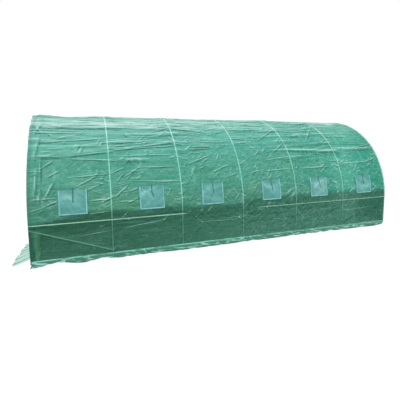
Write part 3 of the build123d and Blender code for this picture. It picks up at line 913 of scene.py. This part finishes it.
zip_cloth = zip_material()
door_y = np.linspace(-DOOR_W / 2 + DOOR_GAP, DOOR_W / 2 - DOOR_GAP, 52)[:, None]
door_z = np.linspace(0, DOOR_H - DOOR_GAP, 92)
door_x = SHEET_BACK + SHEET_GAP - end_lift(door_y, door_z, end_creases(71, 60))
back_door = grid_piece("back_door_film", stacked(door_x, door_y, door_z), stacked(door_y, door_z) / SECTION)
dress(back_door, end_film, "film", "back_door")
back_zips = door_zips("back_door_zips", -1, SHEET_BACK, 0.0, DOOR_H, 0.018)

# Front door, rolled up and tied over its doorway
ROLL_LOW, ROLL_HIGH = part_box("front_door_roll")
ROLL_R = (ROLL_HIGH.z - ROLL_LOW.z) / 2 - 0.002
ROLL_X, ROLL_Z = (ROLL_LOW.x + ROLL_HIGH.x) / 2, (ROLL_LOW.z + ROLL_HIGH.z) / 2
ROLL_TURNS = 8.6
ROLL_CORE = 0.01
ROLL_END = radians(150)  # where the outer edge lies
ROLL_TIES = (-0.25, 0.25)
ROLL_TIE_W, ROLL_TIE_THICK = 0.024, 0.0016
ROLL_TIE_R = ROLL_R * 0.86
turn = np.linspace(0, 2 * pi * ROLL_TURNS, int(30 * ROLL_TURNS) + 1)
wound = turn / turn[-1]
layer = ROLL_CORE + (ROLL_R - 0.012) * wound
ys = np.linspace(-DOOR_W / 2, DOOR_W / 2, 70)[:, None]
squeeze = 1 - 0.16 * sum(bell((ys - tie_y) / 0.035) for tie_y in ROLL_TIES)
roll_r = layer * squeeze * (1 + 0.015 * np.sin(ys * 31 + turn * 2.0) * wound)
angle = ROLL_END - turn[-1] + turn
roll_points = stacked(ROLL_X + np.cos(angle) * roll_r, ys, ROLL_Z + np.sin(angle) * roll_r)
roll_length = float(np.sum(np.hypot(np.diff(np.cos(turn) * layer), np.diff(np.sin(turn) * layer))))
roll = grid_piece("front_door_rolled", roll_points, stacked(ys, wound * roll_length) / SECTION)
dress(roll, film_material("roll_film", base=FILM_MID), "film", "front_door_roll")


def ring_band(y):
    """A tie round the roll at y, a closed band: (points, faces, uvs)."""
    angles = np.linspace(0, 2 * pi, 49)[:-1]
    inner, outer, half = ROLL_TIE_R, ROLL_TIE_R + ROLL_TIE_THICK, ROLL_TIE_W / 2
    points = np.concatenate([
        stacked(ROLL_X + np.cos(angles) * radius, y + off, ROLL_Z + np.sin(angles) * radius)
        for off, radius in ((-half, inner), (-half, outer), (half, outer), (half, inner))
    ])
    return points, ring_faces(4, len(angles), closed=True), points[:, :2]


roll_ties = joined("front_door_ties", [ring_band(y) for y in ROLL_TIES])
dress(roll_ties, tie_cloth, "film")
door_zips("front_door_zips", 1, SHEET_FRONT, 0.01, DOOR_H - 0.06, 0.009)

# Ground flaps
GROUND = 0.0012  # flaps off the floor
BACK_FOLDED = 1.08
BACK_FROM = 0.49  # where the back flaps begin, beside the door
DEEP_FOLDS = 6
# Reach of the left flap in millimetres at places along the tunnel from hoop 1
REACH_RUNS = (0, 0.1, 0.17, 0.3, 0.42, 0.58, 0.68, 0.8, 0.9, 1.05, 1.5, 2.0, 2.9, 3.9, 4.9, 5.6, 5.85, 6.0)
REACHES = (135, 128, 86, 40, 70, 145, 138, 84, 70, 124, 116, 138, 124, 116, 120, 140, 96, 14)


def make_side_flap(name, side):
    """Ground flap of one wall, down from the wall and out over the ground in loose folds, and its area."""
    draw = np.random.default_rng(60 + side)
    runs = np.linspace(BACK_X, FRONT_X, 361)
    if side < 0:
        reach = np.interp(runs - BACK_X, REACH_RUNS, np.array(REACHES) / 1000)
    else:
        reach = np.clip(0.128 + 0.012 * np.sin(runs * 5.1) + 0.008 * np.sin(runs * 13.7), 0.05, 0.148)
        reach = np.minimum(reach, 0.01 + 0.148 * unit((FRONT_X - runs) / 0.15))
    out = reach[:, None] * np.linspace(0, 1, 15)
    drop = 0.03 * unit(1 - out / 0.05) ** 1.5
    fold = np.zeros_like(out)
    for _ in range(260):
        run, off = draw.uniform(BACK_X, FRONT_X), draw.uniform(0.02, 0.13)
        angle, half = draw.normal(0.2, 0.5), draw.uniform(0.03, 0.14)
        across, fade = stroke(runs[:, None] - run, out - off, angle, half, draw.uniform(0.007, 0.013))
        fold += draw.uniform(0.002, 0.007) * fade * bell(across)
    z = GROUND + drop + np.clip(fold, 0, 0.016) * unit(out / 0.03)
    points = stacked(runs[:, None], side * (HALF_W + 0.0032 + out), z)
    # Fold ridges and the flap's top edge painted pale, the rest darker: painted highlight and shade
    crest = (fold - 0.004) / 0.0028 + 2.0 * unit(1 - out / 0.012)
    piece = grid_piece(name, points, stacked(runs[:, None], out) / SECTION, flip=side > 0, crest=crest)
    return piece, float(np.trapz(reach, runs))


flap_film = film_material("flap_film", base=FLAP_GREEN)
for side, word in SIDES:
    flap, area = make_side_flap(f"{word}_ground_flap", side)
    dress(flap, flap_film, "film", f"{word}_skirt")


def make_back_flap(side):
    """Ground flap of the back end, on one side of the door: its part, its area and its folds."""
    draw = np.random.default_rng(80 + side)
    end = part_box("back_skirts")[1].y
    ys = np.linspace(BACK_FROM, end, 180)
    reach = 0.232 - 0.016 * (np.sin(ys * 9.0 + side) ** 2) - 0.03 * unit((ys - end + 0.06) / 0.06)
    out = reach[:, None] * np.linspace(0, 1, 40)
    drop = 0.072 * unit(1 - out / 0.19) ** 1.3
    fold = np.zeros_like(out)
    for k in range(30):
        if k < DEEP_FOLDS:
            y = BACK_FROM + (k + draw.uniform(0.2, 0.8)) / DEEP_FOLDS * (end - BACK_FROM)
            widths, heights = (0.02, 0.03), (0.009, 0.014)
        else:
            y = draw.uniform(BACK_FROM, end)
            widths, heights = (0.008, 0.013), (0.002, 0.005)
        off, angle, half = draw.uniform(0.05, 0.17), draw.normal(1.25, 0.16), draw.uniform(0.12, 0.28)
        across, fade = stroke(ys[:, None] - y, out - off, angle, half, draw.uniform(*widths))
        fold += draw.uniform(*heights) * fade * (bell(across) - 1.1 * bell(across - 1.6))
    z = GROUND + drop + np.clip(0.004 + fold, 0, 0.022) * unit(out / 0.03)
    y = side * ys[:, None]
    part = stacked(SHEET_BACK - 0.0006 - out, y, z), grid_faces(*out.shape, flip=side < 0), stacked(y, out) / SECTION
    return part, float(np.trapz(reach, ys)), fold


back_parts, back_areas, back_folds = zip(*[make_back_flap(side) for side, _ in SIDES])
back_flaps = joined("back_ground_flaps", back_parts)
# Folds painted pale on their ridges and with painted shade in their hollows
mark_crest(back_flaps, np.stack(back_folds) / 0.003)
dress(back_flaps, film_material("back_flap_film", 0.8, base=FLAP_PALE), "film", "back_skirts")
back_area = sum(back_areas) * BACK_FOLDED

# Frame tubes and their bolts
BOLT_RINGS = ((0.0, 0.0065), (0.001, 0.0065), (0.001, 0.0045), (0.0035, 0.0042), (0.0046, 0.0022))  # height, radius
BOLT_SIDES = 12
BOLT_ALONG = 0.042  # from the hoop, on the connector's arm
ARM_R = 0.0104
steel = steel_material()
for name, node in nodes.items():
    if any(word in name for word in ("hoop", "rail", "braces", "door_frame")):
        node.data.materials.clear()
        node.data.materials.append(steel)


def bolt(place, out):
    """A domed bolt head on its washer at a place, standing out along a direction: (points, faces, uvs)."""
    side = out.orthogonal().normalized()
    other = out.cross(side)
    turns = [2 * pi * k / BOLT_SIDES for k in range(BOLT_SIDES)]
    points = np.array([
        place + out * height + (side * cos(turn) + other * sin(turn)) * radius
        for height, radius in BOLT_RINGS for turn in turns
    ])
    faces = ring_faces(len(BOLT_RINGS), BOLT_SIDES)
    faces.append(tuple(range(len(points) - BOLT_SIDES, len(points))))
    return points, faces, points[:, :2]


bolts = []
for hoop in range(BAYS + 1):
    for s in rails:
        turn_at = min(max((s - LEG) / FILM_R, 0), pi)
        inward = Vector((0, cos(turn_at), -sin(turn_at))).normalized()
        z = s if s < LEG else SECTION - s if s > SECTION - LEG else LEG + sin(turn_at) * RAIL_R
        axis = Vector((0, -cos(turn_at) * RAIL_R, z))
        for way in (-1, 1):
            if 0 <= hoop + (way - 1) / 2 < BAYS:
                spot = axis + Vector((BACK_X + hoop * BAY + way * BOLT_ALONG, 0, 0)) + inward * ARM_R
                bolts.append(bolt(spot, inward))
dress(joined("frame_bolts", bolts), steel, "tube")

# Camera at the photograph's place
AZIMUTH, ELEVATION, ROLL = (radians(a) for a in (19.59, -6.276, -0.575))
EYE = (BACK_X + 0.77847, -5.70123, 1.45658)
FOCAL_PX, PHOTO_PX = 302.4, 400
camera = placed("camera", bpy.data.cameras.new("camera"))
scene.camera = camera
camera.data.lens = camera.data.sensor_width * FOCAL_PX / PHOTO_PX
camera.data.shift_y = -0.047
aim = Euler((pi / 2 + ELEVATION, 0, -AZIMUTH)).to_matrix().to_4x4() @ Matrix.Rotation(ROLL, 4, "Z")
camera.matrix_world = Matrix.Translation(EYE) @ aim

# Floor, backdrop and light
FLOOR, FLOOR_Z = 60, -0.002
WHITE = (1, 1, 1, 1)
GREY = (0.45, 0.45, 0.45, 1)
corners = [(x, y, FLOOR_Z) for x, y in ((-FLOOR, -FLOOR), (FLOOR, -FLOOR), (FLOOR, FLOOR), (-FLOOR, FLOOR))]
floor = new_piece("floor", corners, [(0, 1, 2, 3)])


def two_faced(owner, output, lit, shown, share):
    """One shader for light on the object, one for the background seen straight or by mirror or glass."""
    owner.use_nodes = True
    tree = Tree(owner.node_tree)
    tree.nodes.clear()
    rays = tree.add("LightPath")
    seen = tree.math("MAXIMUM", rays["Is Camera Ray"], rays["Is Glossy Ray"])
    seen = tree.math("MAXIMUM", seen, rays["Is Transmission Ray"])
    shaders = [tree.add(kind, values)[0] for kind, values in (lit, shown)]
    blend = tree.add("MixShader", (tree.times(seen, share), *shaders))[0]
    tree.add(output, {"Surface": blend})


def sun(name, energy, angle, towards):
    """A distant lamp of that width in degrees."""
    lamp = bpy.data.lights.new(name, "SUN")
    lamp.energy = energy
    lamp.angle = radians(angle)
    placed(name, lamp).rotation_euler = Vector(towards).to_track_quat("-Z", "Y").to_euler()


paper = bpy.data.materials.new("paper")
matt, glow = ("BsdfDiffuse", {"Color": GREY}), ("Emission", {"Color": WHITE, "Strength": 1.13})
two_faced(paper, "OutputMaterial", matt, glow, 0.85)
floor.data.materials.append(paper)
scene.world = bpy.data.worlds.new("world")
sky, backdrop = (("Background", {"Color": WHITE, "Strength": strength}) for strength in (0.4, 1.0))
two_faced(scene.world, "OutputWorld", sky, backdrop, 1.0)
sun("key", 2.5, 14, (0.3, 0.66, -0.69))
sun("fill", 1.3, 60, (-0.45, -0.7, -0.45))
scene.view_settings.view_transform = "Standard"
